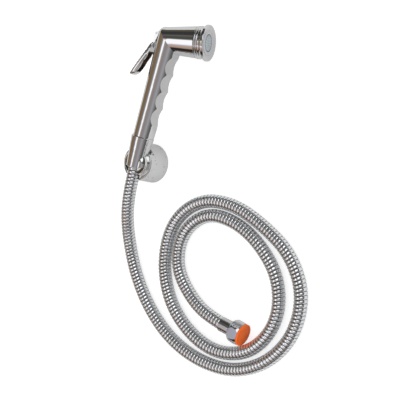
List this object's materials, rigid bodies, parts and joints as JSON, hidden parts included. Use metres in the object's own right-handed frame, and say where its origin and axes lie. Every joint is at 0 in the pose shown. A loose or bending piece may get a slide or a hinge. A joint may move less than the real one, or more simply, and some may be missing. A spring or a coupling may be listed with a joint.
{
  "type": "handheld bidet shower",
  "caption": "Chromed bidet shower with a thumb lever and finger grip, in its round wall holder, on a ribbed metal hose with a nut end.",
  "frame": {"origin": "centre of the holder's flat back face, which meets the wall", "axes": "+Z out of the wall, +Y up along the handle, +X to the side that the spray head points to"},
  "size_m": [0.259, 0.3384, 0.0427],
  "materials": {
    "chrome_plate": "polished",
    "hose_cover": "ribbed, bright",
    "steel": "smooth",
    "brass": "machined",
    "black_rubber": "matt",
    "grey_plastic": "satin",
    "orange_plastic": "satin"
  },
  "bodies": {
    "handset": {"handset_body": "chrome_plate", "holder": "chrome_plate", "cone_nut": "chrome_plate", "handset_end_washer": "black_rubber", "handset_end_tail": "brass", "handset_end_ferrule": "steel", "hose": "hose_cover", "supply_end_ferrule": "steel", "supply_end_tail": "brass", "nozzle_collar": "chrome_plate", "nozzle_cap": "chrome_plate", "nozzle_seal": "black_rubber", "spray_disc": "grey_plastic", "hinge_pin": "steel", "gland_nut": "brass", "gland_o_ring": "black_rubber", "valve_spring": "steel"},
    "trigger": {"trigger_lever": "chrome_plate"},
    "valve": {"valve_stem": "brass", "valve_disc": "black_rubber"},
    "supply_nut": {"end_nut": "chrome_plate", "supply_end_washer": "black_rubber", "thread_plug": "orange_plastic"}
  },
  "joints": [
    {"name": "trigger_press", "type": "hinge", "parent": "handset", "child": "trigger", "pos_m": [-0.012, 0.1356, 0.03171], "axis": [0.2203, 0, 0.9754], "range_deg": [0, 9], "stiffness_Nm_per_rad": 0.8, "springref_deg": -11.46},
    {"name": "valve_push", "type": "slide", "parent": "handset", "child": "valve", "axis": [0.9569, 0.1942, -0.2161], "range_m": [0, 0.00101], "deforming": ["valve_spring"]},
    {"name": "supply_nut_turn", "type": "hinge", "parent": "handset", "child": "supply_nut", "pos_m": [0.1563, -0.12671, 0.0112], "axis": [0.9992, -0.04, 0], "continuous": true}
  ],
  "couplings": [
    {"joint": "trigger_press", "follows": "valve_push", "rad_per_m": 156.18}
  ]
}
